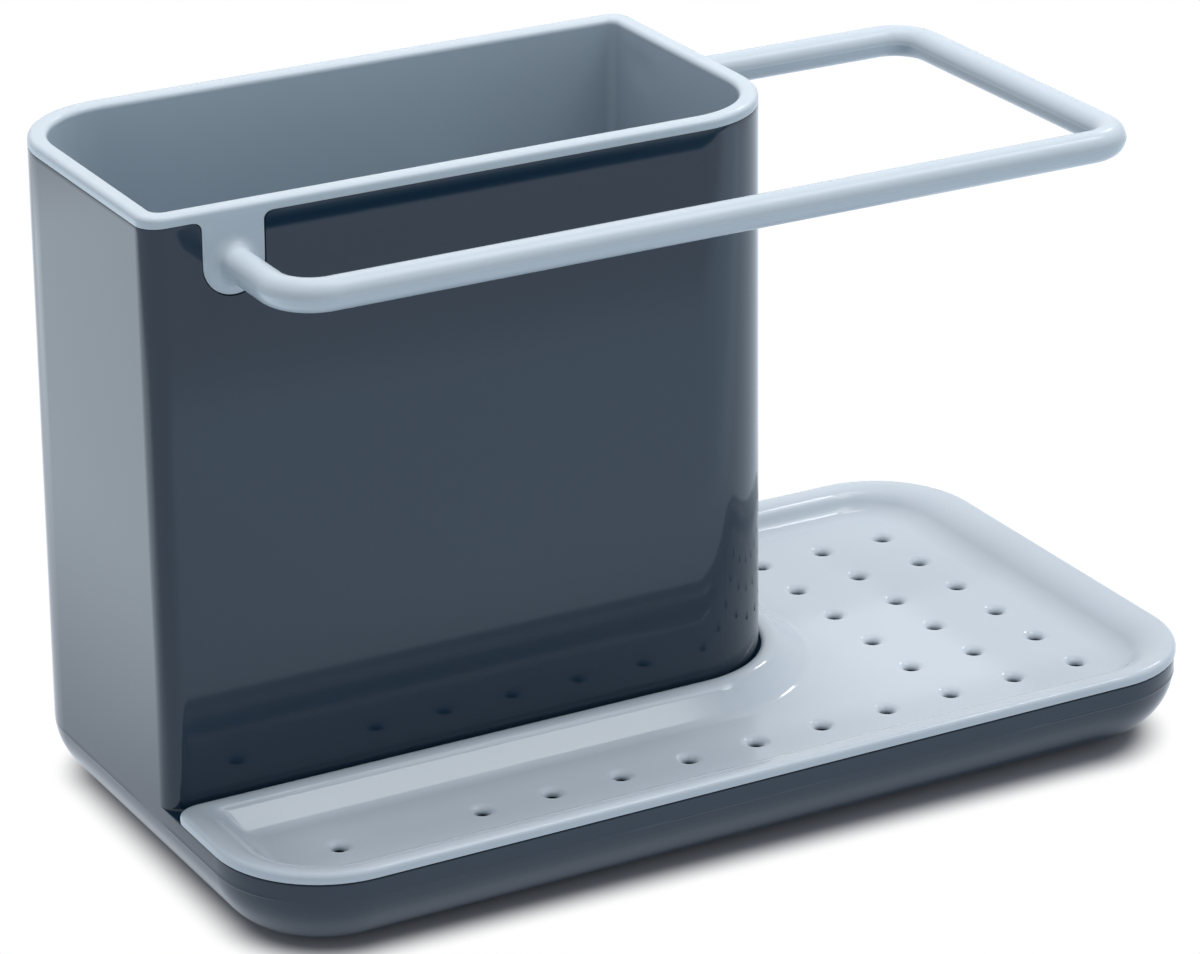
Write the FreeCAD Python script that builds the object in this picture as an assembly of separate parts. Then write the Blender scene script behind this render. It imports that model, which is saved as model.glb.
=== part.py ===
"""Kitchen sink caddy: a moulded body, a lift-out liner with its cloth rail, a drain tray and four feet.

Millimetres. The origin is the centre of the footprint on the worktop, +X runs along the caddy from the
tall sleeve to the tray, +Y to the back and +Z up.
"""
import FreeCAD, Part
import math
import os
from FreeCAD import Vector

# Body: the base dish and the tall sleeve are one moulding
base_length = 212.0
base_width = 113.6
base_corner_radius = 22.0
base_height = 16.1
base_belly_radius = 13.5
body_wall = 1.8
body_floor = 1.8
ledge_corner_radius = 9.0

sleeve_length = 138.2
sleeve_depth = 69.5
sleeve_rise = 115.7
sleeve_broad_radius = 21.3
sleeve_tight_radius = 4.2
sleeve_flare = 1.5
notch_mouth_radius = 1.9

# Fits between the lift-out pieces and the body
seat_gap = 0.25
liner_gap = 0.35
tab_gap = 0.25
tray_gap = 0.5
tray_overhang = 0.25

# Liner: the bin that hangs in the sleeve by its rim
liner_rim_height = 1.9
liner_rim_outer_round = 1.1
liner_rim_inner_round = 0.6
liner_wall = 2.0
liner_floor = 2.0
liner_depth = 112.0
liner_taper = 0.8
liner_foot_round = 1.6
liner_floor_room = 2.0
liner_inner_tight_radius = 1.8
liner_drain_diameter = 5.0
liner_drain_pitch = 15.0
liner_drain_margin = 13.0
divider_setback = 42.0
divider_thickness = 1.8
divider_drop = 27.0

# Cloth rail, moulded in one with the liner
rail_diameter = 6.4
rail_drop = 8.9
rail_front_reach = 23.4
rail_end_reach = 60.4
rail_back_setback = 15.0
rail_bend_radius = 8.0
rail_root_fillet = 2.2
tab_width = 12.4
tab_inset = 17.6

# Drain tray: an L-shaped dish round the foot of the sleeve
tray_lip_height = 2.1
tray_lip_round = 0.9
tray_depth = 5.2
tray_wall = 1.6
tray_step = 1.2
tray_crest_inset = 1.3
tray_side_cove = 13.5
tray_side_crown = 10.0
tray_back_cove = 10.0
tray_back_crown = 5.0
tray_end_radius = 6.0
tray_back_end_radius = 3.0
tray_floor_end_radius = 2.0

# The tray's edge along the sleeve, lower than the lip, with an even slope down to the tray's floor
tray_sleeve_crest = 1.4
tray_sleeve_run = 9.2
tray_sleeve_drop = 0.6
tray_sleeve_peak = 1.7
tray_sleeve_round = 2.0
tray_sleeve_ramp = 7.6

# Drain holes in the tray
drain_diameter = 3.0
drain_mouth_diameter = 5.5
drain_mouth_depth = 1.0
drain_pitch_x = 15.2
drain_pitch_y = 14.5
drain_margin = 20.4
drain_sleeve_margin = 8.0
bare_place_from_left = 2

# Feet
foot_diameter = 12.0
foot_stand = 0.8
foot_recess = 0.8
foot_gap = 0.1
foot_edge_round = 0.3
foot_inset_x = 26.0
foot_inset_y = 25.0

# How far a cutting tool runs past the face that it cuts, and how close two equal places lie
overrun = 2.0
match_tolerance = 0.001

# How much of its side or wall a round may take, and the least part of a side left for a smaller arc
room_share = 0.98
least_arc_share = 0.03

# Levels above the worktop
under_z = foot_stand
rim_z = under_z + base_height
floor_z = under_z + body_floor
liner_needs_z = floor_z + liner_floor_room + liner_depth - seat_gap
sleeve_top_z = max(rim_z + sleeve_rise, liner_needs_z)
liner_seat_z = sleeve_top_z + seat_gap
top_z = liner_seat_z + liner_rim_height
liner_bottom_z = liner_seat_z - liner_depth
liner_floor_z = liner_bottom_z + liner_floor
rail_z = liner_seat_z - rail_drop
tray_seat_z = rim_z + seat_gap
tray_crest_z = tray_seat_z + tray_lip_height
tray_floor_z = tray_crest_z - tray_depth
tray_under_z = tray_floor_z - tray_wall

# Sides of the base and of the sleeve, at its top and at its flared foot
left_x = -base_length / 2
right_x = base_length / 2
front_y = -base_width / 2
back_y = base_width / 2
sleeve_right_x = left_x + sleeve_length
sleeve_front_y = back_y - sleeve_depth
foot_right_x = sleeve_right_x + sleeve_flare
foot_front_y = sleeve_front_y - sleeve_flare
foot_broad_radius = sleeve_broad_radius + sleeve_flare

rail_radius = rail_diameter / 2
tab_centre_x = left_x + tab_inset
rail_front_y = sleeve_front_y - rail_front_reach
rail_end_x = sleeve_right_x + rail_end_reach
rail_back_y = back_y - rail_back_setback


def fitted_radii(corners):
    """Radius of each corner (x, y, radius), limited by its sides: where two arcs meet, the smaller yields."""
    radii = [radius for x, y, radius in corners]
    for index, (x, y, radius) in enumerate(corners):
        following = (index + 1) % len(corners)
        room = room_share * math.hypot(corners[following][0] - x, corners[following][1] - y)
        small, large = sorted((index, following), key=lambda place: radii[place])
        if radii[small] + radii[large] > room:
            radii[small] = max(room - radii[large], room * least_arc_share)
            radii[large] = min(radii[large], room - radii[small])
    return radii


def rounded_wire(corners, z):
    """Closed wire at height z through square corners (x, y, radius), each turned by a tangent arc."""
    points = [Vector(x, y, z) for x, y, radius in corners]
    bends = []
    for index, radius in enumerate(fitted_radii(corners)):
        corner = points[index]
        to_last = (points[index - 1] - corner).normalize()
        to_next = (points[(index + 1) % len(points)] - corner).normalize()
        centre = corner + (to_last + to_next) * radius
        middle = centre + (corner - centre).normalize() * radius
        bends.append((corner + to_last * radius, middle, corner + to_next * radius))
    edges = []
    for index, (start, middle, end) in enumerate(bends):
        edges.append(Part.Arc(start, middle, end).toShape())
        next_start = bends[(index + 1) % len(bends)][0]
        edges.append(Part.LineSegment(end, next_start).toShape())
    return Part.Wire(edges)


def prism(corners, low_z, high_z):
    """Upright solid between two heights on an outline of rounded corners."""
    return Part.Face(rounded_wire(corners, low_z)).extrude(Vector(0, 0, high_z - low_z))


def edges_at(shape, z):
    """The level edges of a shape that lie at one height."""
    return [edge for edge in shape.Edges
            if max(abs(edge.BoundBox.ZMin - z), abs(edge.BoundBox.ZMax - z)) < match_tolerance]


def inner_edges_at(shape, z, inset):
    """The level edges at one height that lie within the sleeve's outline drawn in by an inset."""
    reach = inset - match_tolerance
    return [edge for edge in edges_at(shape, z)
            if edge.BoundBox.XMin > left_x + reach and edge.BoundBox.XMax < sleeve_right_x - reach
            and edge.BoundBox.YMin > sleeve_front_y + reach and edge.BoundBox.YMax < back_y - reach]


def base_corners(inset):
    """Outline of the base, drawn in by an inset."""
    radius = base_corner_radius - inset
    return [(left_x + inset, front_y + inset, radius), (right_x - inset, front_y + inset, radius),
            (right_x - inset, back_y - inset, radius), (left_x + inset, back_y - inset, radius)]


def sleeve_corners(inset, flare, tight_radius):
    """Outline of the sleeve: broad at the back left and front right, tight at the other two corners."""
    return [(left_x + inset, sleeve_front_y - flare + inset, tight_radius),
            (sleeve_right_x + flare - inset, sleeve_front_y - flare + inset,
             sleeve_broad_radius + flare - inset),
            (sleeve_right_x + flare - inset, back_y - inset, tight_radius),
            (left_x + inset, back_y - inset, base_corner_radius - inset)]


def tray_corners(outer, sleeve, radii):
    """L-shaped outline round the sleeve's foot.

    outer holds the insets of the front, right, back and left sides from the base's outline, sleeve is the
    distance kept from the sleeve's foot, and radii run from the front left corner anticlockwise.
    """
    front, right, back, left = outer
    return [(left_x + left, front_y + front, radii[0]),
            (right_x - right, front_y + front, radii[1]),
            (right_x - right, back_y - back, radii[2]),
            (foot_right_x + sleeve, back_y - back, radii[3]),
            (foot_right_x + sleeve, foot_front_y - sleeve, foot_broad_radius + sleeve),
            (left_x + left, foot_front_y - sleeve, radii[4])]


def cove_run(drop, run, crown):
    """How far in from its crest a cove of the tray has come at a drop: a crown arc, then a tangent hollow arc."""
    both_radii = (run ** 2 + tray_depth ** 2) / (2 * tray_depth)
    crown = min(max(crown, 0), room_share * both_radii)
    hollow = both_radii - crown
    steepest = 2 * math.atan(tray_depth / run)
    if drop <= crown * (1 - math.cos(steepest)):
        return math.sqrt(crown ** 2 - (crown - drop) ** 2)
    rise = tray_depth - drop
    return run - math.sqrt(hollow ** 2 - (hollow - rise) ** 2)


def cove_outline(drop, wall):
    """Outline of the tray's coves at a drop below their crest, with a wall's thickness taken off their crowns."""
    side_run = tray_side_cove - tray_crest_inset
    back_run = tray_back_cove - tray_crest_inset
    side = tray_crest_inset + cove_run(drop, side_run, tray_side_crown - wall)
    back = tray_crest_inset + cove_run(drop, back_run, tray_back_crown - wall)
    share = drop / tray_depth
    sleeve = tray_gap + tray_sleeve_crest + tray_sleeve_run * share
    end = tray_end_radius + (tray_floor_end_radius - tray_end_radius) * share
    back_end = tray_back_end_radius + (tray_floor_end_radius - tray_back_end_radius) * share
    corner = base_corner_radius - side
    back_corner = base_corner_radius - (side + back) / 2
    return tray_corners((side, side, back, side), sleeve, (corner, corner, back_corner, back_end, end))


def cove_loft(crest_z, wall):
    """Solid bounded by the tray's coves, from their crest down to the level floor."""
    stations = 9
    wires = []
    for station in range(stations):
        drop = tray_depth * (1 + math.cos(math.radians(180) * station / (stations - 1))) / 2
        wires.append(rounded_wire(cove_outline(drop, wall), crest_z - drop))
    return Part.makeLoft(wires, True, False)


def sleeve_edge_cutter():
    """Cutter round the sleeve's foot that rounds the tray's edge there, and ramps up to the lip at its ends."""
    peak = tray_gap + tray_sleeve_peak
    peak_z = tray_crest_z - tray_sleeve_drop
    round_height = room_share * (tray_lip_height - tray_sleeve_drop)
    steps = 4
    places = []
    for step in range(steps + 1):
        angle = math.radians(90) * step / steps
        places.append((peak - tray_sleeve_round * math.cos(angle), peak_z - round_height * (1 - math.sin(angle))))
    places.append((peak + tray_sleeve_ramp, tray_crest_z + tray_sleeve_drop))
    wires = [rounded_wire(sleeve_corners(-distance, sleeve_flare, sleeve_tight_radius), z)
             for distance, z in places]
    return Part.makeLoft(wires, True, False)


def tab_face(half_width, mouth_radius, top):
    """Outline of a rail tab in its own plane: round below, straight sides, mouth flared at the seat.

    The tab's plane has its width along X and its height along Z, and the rail's axis is at the origin.
    """
    mouth_z = sleeve_top_z - rail_z
    side_z = mouth_z - mouth_radius
    lip = half_width + mouth_radius
    bend = mouth_radius * (1 - math.sqrt(0.5))
    left_low = Vector(-half_width, 0, 0)
    right_low = Vector(half_width, 0, 0)
    left_side = Vector(-half_width, 0, side_z)
    right_side = Vector(half_width, 0, side_z)
    left_mouth = Vector(-lip, 0, mouth_z)
    right_mouth = Vector(lip, 0, mouth_z)
    left_top = Vector(-lip, 0, top - rail_z)
    right_top = Vector(lip, 0, top - rail_z)
    left_bend = Vector(-half_width - bend, 0, mouth_z - bend)
    right_bend = Vector(half_width + bend, 0, mouth_z - bend)
    edges = [Part.Arc(left_low, Vector(0, 0, -half_width), right_low),
             Part.LineSegment(right_low, right_side),
             Part.Arc(right_side, right_bend, right_mouth),
             Part.LineSegment(right_mouth, right_top),
             Part.LineSegment(right_top, left_top),
             Part.LineSegment(left_top, left_mouth),
             Part.Arc(left_mouth, left_bend, left_side),
             Part.LineSegment(left_side, left_low)]
    return Part.Face(Part.Wire([edge.toShape() for edge in edges]))


def place_tab(tab, on_right_wall):
    """Stand a tab, drawn with its outer face at Y 0, in the sleeve's front or right wall."""
    if on_right_wall:
        tab.rotate(Vector(0, 0, 0), Vector(0, 0, 1), 90)
        tab.translate(Vector(sleeve_right_x, rail_back_y, rail_z))
    else:
        tab.translate(Vector(tab_centre_x, sleeve_front_y, rail_z))
    return tab


def make_notch(on_right_wall):
    """Cutter for the notch in the sleeve's wall that takes a rail tab."""
    face = tab_face(tab_width / 2 + tab_gap, notch_mouth_radius, sleeve_top_z + overrun)
    face.translate(Vector(0, -overrun, 0))
    return place_tab(face.extrude(Vector(0, body_wall + liner_gap + overrun, 0)), on_right_wall)


def make_tab(on_right_wall):
    """Tab of the liner, flush with the sleeve's face and rooted in the liner's wall."""
    face = tab_face(tab_width / 2, notch_mouth_radius - tab_gap, liner_seat_z + liner_rim_height / 2)
    root = body_wall + liner_gap + liner_wall / 2
    return place_tab(face.extrude(Vector(0, root, 0)), on_right_wall)


def make_base_block(inset, low_z, high_z, belly_radius):
    """Rounded base solid with its lower edge rolled under."""
    block = prism(base_corners(inset), low_z, high_z)
    return block.makeFillet(min(belly_radius, room_share * (rim_z - low_z)), edges_at(block, low_z))


def foot_places():
    """Centres of the feet on the underside."""
    return [(x, y) for x in (left_x + foot_inset_x, right_x - foot_inset_x)
            for y in (front_y + foot_inset_y, back_y - foot_inset_y)]


def make_body():
    """Base dish and sleeve in one, open at the top, notched for the rail tabs and recessed for the feet."""
    foot_wire = rounded_wire(sleeve_corners(0, sleeve_flare, sleeve_tight_radius), rim_z)
    top_wire = rounded_wire(sleeve_corners(0, 0, sleeve_tight_radius), sleeve_top_z)
    body = make_base_block(0, under_z, rim_z, base_belly_radius)
    body = body.fuse(Part.makeLoft([foot_wire, top_wire], True, True))

    inner_tight = sleeve_tight_radius - body_wall
    rise_share = (sleeve_rise + overrun) / sleeve_rise
    past_top = sleeve_flare * (1 - rise_share)
    inner_foot = sleeve_corners(body_wall, sleeve_flare, inner_tight)
    inner_top = sleeve_corners(body_wall, past_top, inner_tight)
    upper = Part.makeLoft([rounded_wire(inner_foot, rim_z),
                           rounded_wire(inner_top, sleeve_top_z + overrun)], True, True)
    hollow = make_base_block(body_wall, floor_z, rim_z, base_belly_radius - body_wall)
    lower = hollow.common(prism(inner_foot, floor_z, rim_z))
    walls = (body_wall,) * 4
    inner_radius = base_corner_radius - body_wall
    dish_radii = (inner_radius, inner_radius, inner_radius, tray_back_end_radius, ledge_corner_radius)
    dish = make_base_block(body_wall, floor_z, rim_z + overrun, base_belly_radius - body_wall)
    dish = dish.common(prism(tray_corners(walls, 0, dish_radii), under_z, rim_z + overrun))
    for cutter in (upper, lower, dish, make_notch(False), make_notch(True)):
        body = body.cut(cutter)
    for x, y in foot_places():
        recess = Part.makeCylinder(foot_diameter / 2 + foot_gap, foot_recess + overrun,
                                   Vector(x, y, under_z - overrun))
        body = body.cut(recess)
    return body.removeSplitter()


def make_rail():
    """Round rod from the front tab, along the front, round the far end and back to the right wall's tab."""
    bend = rail_bend_radius
    corners = [Vector(tab_centre_x, sleeve_front_y + body_wall, rail_z),
               Vector(tab_centre_x, rail_front_y, rail_z),
               Vector(rail_end_x, rail_front_y, rail_z),
               Vector(rail_end_x, rail_back_y, rail_z),
               Vector(sleeve_right_x - body_wall, rail_back_y, rail_z)]
    edges = []
    start = corners[0]
    for last, corner, following in zip(corners, corners[1:], corners[2:]):
        to_last = (last - corner).normalize()
        to_next = (following - corner).normalize()
        centre = corner + (to_last + to_next) * bend
        middle = centre + (corner - centre).normalize() * bend
        edges.append(Part.LineSegment(start, corner + to_last * bend).toShape())
        edges.append(Part.Arc(corner + to_last * bend, middle, corner + to_next * bend).toShape())
        start = corner + to_next * bend
    edges.append(Part.LineSegment(start, corners[-1]).toShape())
    section = Part.Wire(Part.makeCircle(rail_radius, corners[0], Vector(0, 1, 0)))
    return Part.Wire(edges).makePipeShell([section], True, False)


def rail_root_edges(shape):
    """The circles where the rail leaves the two tabs."""
    roots = (Vector(tab_centre_x, sleeve_front_y, rail_z), Vector(sleeve_right_x, rail_back_y, rail_z))
    found = []
    for edge in shape.Edges:
        centre = edge.BoundBox.Center
        round_edge = abs(edge.BoundBox.ZLength - rail_diameter) < match_tolerance
        if round_edge and any(centre.distanceToPoint(root) < match_tolerance for root in roots):
            found.append(edge)
    return found


def spread(low, high, pitch):
    """Evenly spaced places from low to high, about one pitch apart."""
    count = max(1, round((high - low) / pitch))
    return [low + (high - low) * index / count for index in range(count + 1)]


def make_liner():
    """Bin with a flush rim, a low divider, a drained floor, two tabs and the cloth rail."""
    outset = body_wall + liner_gap
    outer_tight = sleeve_tight_radius - outset
    top_outline = sleeve_corners(outset, 0, outer_tight)
    low_outline = sleeve_corners(outset + liner_taper, 0, outer_tight)
    shell = Part.makeLoft([rounded_wire(low_outline, liner_bottom_z),
                           rounded_wire(top_outline, liner_seat_z)], True, True)
    foot_round = min(liner_foot_round, room_share * outer_tight)
    shell = shell.makeFillet(foot_round, edges_at(shell, liner_bottom_z))
    rim = prism(sleeve_corners(0, 0, sleeve_tight_radius), liner_seat_z, top_z)
    rim = rim.makeFillet(liner_rim_outer_round, edges_at(rim, top_z))
    solid = shell.fuse([rim, make_tab(False), make_tab(True)])

    inset = outset + liner_wall
    mouth = sleeve_corners(inset, 0, liner_inner_tight_radius)
    low_mouth = sleeve_corners(inset + liner_taper, 0, liner_inner_tight_radius)
    cavity = Part.makeLoft([rounded_wire(low_mouth, liner_floor_z),
                            rounded_wire(mouth, liner_seat_z)], True, True)
    cavity = cavity.fuse(prism(mouth, liner_seat_z, top_z + overrun))
    divider_x = sleeve_right_x - divider_setback
    divider = Part.makeBox(divider_thickness, sleeve_depth, liner_depth - divider_drop + liner_rim_height,
                           Vector(divider_x, sleeve_front_y, liner_bottom_z))
    solid = solid.cut(cavity.cut(divider))
    solid = solid.fuse(make_rail().cut(cavity)).removeSplitter()
    root_fillet = min(rail_root_fillet, room_share * (tab_width / 2 - rail_radius))
    solid = solid.makeFillet(root_fillet, rail_root_edges(solid))

    drain_radius = liner_drain_diameter / 2
    row_ends = (sleeve_front_y + inset + liner_drain_margin, back_y - inset - liner_drain_margin)
    bays = ((left_x + inset, divider_x), (divider_x + divider_thickness, sleeve_right_x - inset))
    for low_x, high_x in bays:
        for x in spread(low_x + liner_drain_margin, high_x - liner_drain_margin, liner_drain_pitch):
            for y in spread(row_ends[0], row_ends[1], liner_drain_pitch):
                drain = Part.makeCylinder(drain_radius, liner_floor + overrun,
                                          Vector(x, y, liner_bottom_z - overrun / 2))
                solid = solid.cut(drain)
    return solid.makeFillet(liner_rim_inner_round, inner_edges_at(solid, top_z, inset))


def drain_places():
    """Centres of the tray's drain holes: a row along the front and a block beside the sleeve."""
    last_x = right_x - drain_margin
    row_count = 1 + math.floor((base_length - 2 * drain_margin) / drain_pitch_x)
    block_count = 1 + math.floor((last_x - foot_right_x - drain_sleeve_margin) / drain_pitch_x)
    rows = spread(front_y + drain_margin, back_y - drain_margin, drain_pitch_y)
    places = []
    for column in range(row_count):
        if row_count - column != bare_place_from_left:
            places.append((last_x - column * drain_pitch_x, rows[0]))
    for column in range(block_count):
        places += [(last_x - column * drain_pitch_x, y) for y in rows[1:]]
    return places


def make_tray():
    """Thin L-shaped dish: rounded lip on the base's rim, S-shaped coves, locating step and drain holes."""
    corner = base_corner_radius + tray_overhang
    edge = (-tray_overhang,) * 4
    edge_radii = (corner, corner, corner, tray_back_end_radius, tray_end_radius)
    edge_outline = tray_corners(edge, tray_gap, edge_radii)
    lip = prism(edge_outline, tray_seat_z, tray_crest_z)
    lip_round = min(tray_lip_round, room_share * min(fitted_radii(edge_outline)))
    lip = lip.makeFillet(lip_round, edges_at(lip, tray_crest_z)).cut(sleeve_edge_cutter())

    step_inset = body_wall + tray_gap
    step_corner = base_corner_radius - step_inset
    step_end = ledge_corner_radius - tray_gap
    step_radii = (step_corner, step_corner, step_corner, tray_back_end_radius, step_end)
    step_outline = tray_corners((step_inset,) * 4, tray_gap, step_radii)
    step = prism(step_outline, tray_seat_z - tray_step, tray_seat_z)
    pan = cove_loft(tray_crest_z - tray_wall, tray_wall)
    tray = lip.fuse([step, pan]).cut(cove_loft(tray_crest_z, 0))

    drains = []
    for x, y in drain_places():
        drains.append(Part.makeCylinder(drain_diameter / 2, tray_wall + 2 * overrun,
                                        Vector(x, y, tray_under_z - overrun)))
        drains.append(Part.makeCone(drain_diameter / 2, drain_mouth_diameter / 2, drain_mouth_depth,
                                    Vector(x, y, tray_floor_z - drain_mouth_depth)))
    return tray.cut(drains).removeSplitter()


def make_foot(x, y):
    """Rubber disc seated in its recess, with its lower edge rounded."""
    foot = Part.makeCylinder(foot_diameter / 2, foot_recess + foot_stand, Vector(x, y, 0))
    return foot.makeFillet(foot_edge_round, edges_at(foot, 0))


def main():
    """Build every piece and write one file for each."""
    pieces = {"body": make_body(), "liner": make_liner(), "drain_tray": make_tray()}
    foot_names = ("foot_front_left", "foot_back_left", "foot_front_right", "foot_back_right")
    for name, (x, y) in zip(foot_names, foot_places()):
        pieces[name] = make_foot(x, y)
    os.makedirs("parts", exist_ok=True)
    for name, shape in pieces.items():
        shape.exportStep(os.path.join("parts", name + ".step"))
        print(name, len(shape.Solids), shape.isValid(), round(shape.Volume), shape.BoundBox)


main()
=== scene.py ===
"""Looks of the kitchen sink caddy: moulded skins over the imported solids, a pale floor and soft light.

Shapes are worked out in millimetres in the frame's own axes and turned to metres as each mesh is made.
"""
import math
import bmesh
import bpy
import numpy as np
from mathutils import Matrix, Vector
from mathutils.geometry import delaunay_2d_cdt


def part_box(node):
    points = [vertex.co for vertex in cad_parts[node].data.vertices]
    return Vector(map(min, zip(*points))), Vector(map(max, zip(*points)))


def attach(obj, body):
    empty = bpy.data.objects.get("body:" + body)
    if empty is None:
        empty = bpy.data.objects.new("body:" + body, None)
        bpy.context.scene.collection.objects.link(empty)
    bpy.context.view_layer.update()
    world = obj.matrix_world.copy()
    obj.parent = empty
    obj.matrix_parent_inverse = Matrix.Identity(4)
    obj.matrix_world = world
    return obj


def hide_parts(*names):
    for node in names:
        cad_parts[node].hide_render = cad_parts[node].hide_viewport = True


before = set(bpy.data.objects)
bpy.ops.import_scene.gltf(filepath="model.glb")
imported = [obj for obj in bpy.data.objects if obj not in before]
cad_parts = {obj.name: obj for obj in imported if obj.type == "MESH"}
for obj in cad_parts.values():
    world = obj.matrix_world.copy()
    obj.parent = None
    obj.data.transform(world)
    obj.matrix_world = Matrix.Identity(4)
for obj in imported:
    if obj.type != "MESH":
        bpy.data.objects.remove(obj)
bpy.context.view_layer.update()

MM = 0.001


def box_mm(node):
    """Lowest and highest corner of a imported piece, in millimetres."""
    low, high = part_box(node)
    return np.array(low) / MM, np.array(high) / MM


# Extents read from the frame
(left, front, under_z), (right, back, sleeve_top_z) = box_mm("body")
(_, _, liner_bottom_z), (_, _, top_z) = box_mm("liner")
(_, _, tray_under_z), (_, _, tray_crest_z) = box_mm("drain_tray")

# Body
base_height = 16.1
base_corner = 22.0
base_belly = 13.5
body_wall = 1.8
body_floor = 1.8
base_edge_round = 0.35
ledge_corner = 9.0
ledge_fillet = 0.5
sleeve_length = 138.2
sleeve_depth = 69.5
sleeve_broad = 21.3
sleeve_tight = 4.2
back_left_corner = 21.2
sleeve_flare = 1.5
sleeve_edge_round = 0.15
notch_mouth = 1.9
witness_drop = 3.6
witness_height = 0.1
witness_width = 0.16
witness_level = 0.6
witness_slow = 0.5
witness_slow_waves = 7
witness_slow_start = 1
witness_quick = 0.4
witness_quick_waves = 17

# Liner
rim_outer_round = 1.1
rim_inner_round = 1.25
rim_seat_gap = 0.06
seat_gap = 0.25
liner_gap = 0.35
liner_wall = 1.7
liner_floor = 2.0
liner_taper = 0.8
liner_foot_round = 1.6
liner_inner_tight = 1.8
liner_drain = 2.5
liner_drain_pitch = 15.0
liner_drain_margin = 13.0
divider_setback = 42.0
divider_thickness = 1.8
divider_drop = 27.0
sink_mark_depth = 0.35
sink_mark_radius = 3.2
sink_mark_band = 5.1

# Cloth rail and its tabs
rail_radius = 3.2
rail_drop = 8.9
rail_front_reach = 23.4
rail_end_reach = 60.4
rail_back_setback = 15.0
rail_bend = 8.0
rail_root = 2.6
rail_root_reach = 2.86
tab_half = 6.2
tab_gap = 0.25
tab_inset = 17.6
seam_height = 0.07
seam_width = 0.22

# Drain tray
tray_gap = 0.5
tray_overhang = 0.25
tray_lip_round = 1.2
tray_lip_under_round = 0.2
tray_depth = 5.2
tray_wall = 1.6
tray_step = 1.2
tray_step_ease = 0.3
tray_side_cove = 13.5
tray_side_crown = 10.0
tray_back_cove = 10.0
tray_back_crown = 5.0
tray_sleeve_drop = 0.6
tray_sleeve_peak = 2.1
tray_sleeve_round = 1.3
tray_sleeve_cove = 11.75
tray_sleeve_crown = 2.2
tray_sleeve_hollow = 5.0
tray_bead_round = 3.5
tray_bead_fall = 42.0
tray_bead_hollow = 1.0
tray_end_radius = 6.0
tray_back_end_radius = 3.0
tray_inner_end_radius = 2.0
tray_floor_end_radius = 0.8
drain_bore = 1.3
drain_mouth_round = 1.95
drain_mouth_depth = 1.5
drain_pitch_x = 15.2
drain_pitch_y = 14.5
drain_margin = 20.4
drain_sleeve_margin = 8.0
bare_place_from_left = 2

# Feet
foot_radius = 6.0
foot_gap = 0.1
foot_recess = 0.8
foot_inset_x = 26.0
foot_inset_y = 25.0

# Moulded finish: scales of the colour's mottle and of the orange peel, and the index of refraction
mottle_scale = 24
peel_scale = 420
plastic_ior = 1.5

# Floor: half its width in metres, its paper's colour, darker and bluer than its white as a painted shade
# where it shows near the base, and the share of its white that it gives back as light
floor_half = 4.0
floor_shade_paper = (0.46, 0.49, 0.55, 1)
floor_bounce = 0.58

# Painted edge of the shadow on the floor, where its white fades in, in millimetres out from the base's flat
# underside, and its turn in degrees
shadow_start = 6.8
shadow_end = 16.9
shadow_in_gloss = 1.0
shadow_ends = 2.6
shadow_shift = 0.7
shadow_turn = 0.85

# Colours of the surroundings: white, and faintly cool in the floor's reflections
WHITE = (1, 1, 1, 1)
COOL = (0.93, 1.0, 1.09, 1)

# Brightness of the surroundings at the horizon, high up and in reflections, and how high the haze reaches
horizon_level = 0.98
high_level = 0.5
gloss_level = 0.7
haze_top = 0.52

# Height of the cards that lie on the floor
card_lift = 2.0

# Fineness of the meshes: steps round an arc, along a side, round an edge, a lip and a hole, and by a seam
ARC = 16
SIDE = 18
EDGE = 6
LIP = 8
HOLE = 32
SEAM = np.array([-2, -1, -0.5, 0.5, 1, 2])

# Points of a corner and the side after it, the angle from which an edge is sharp, and a negligible length
BLOCK = ARC + 1 + SIDE
SHARP = math.radians(33)
WELD = 1e-7

# Places worked out from the sizes
rim_z = under_z + base_height
floor_z = under_z + body_floor
sleeve_rise = sleeve_top_z - rim_z
liner_seat_z = sleeve_top_z + seat_gap
liner_floor_z = liner_bottom_z + liner_floor
rail_z = liner_seat_z - rail_drop
tray_seat_z = rim_z + seat_gap
tray_step_z = tray_seat_z - tray_step
tray_floor_z = tray_crest_z - tray_depth
tray_sleeve_z = tray_crest_z - tray_sleeve_drop
sleeve_right = left + sleeve_length
sleeve_front = back - sleeve_depth
foot_right = sleeve_right + sleeve_flare
foot_front = sleeve_front - sleeve_flare
tab_x = left + tab_inset
rail_front = sleeve_front - rail_front_reach
rail_end = sleeve_right + rail_end_reach
rail_back = back - rail_back_setback


def crowded(count):
    """Shares strictly between 0 and 1 that crowd to both ends: (1 - cos(pi k / n)) / 2."""
    return (1 - np.cos(np.pi * np.arange(1, count + 1) / (count + 1))) / 2


def quarter(steps):
    """Angles from 0 to a quarter turn."""
    return np.linspace(0, np.pi / 2, steps + 1)


def smooth(value):
    """Smooth step from 0 to 1: 3 v^2 - 2 v^3 on the clipped value."""
    value = np.clip(value, 0, 1)
    return value * value * (3 - 2 * value)


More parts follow.
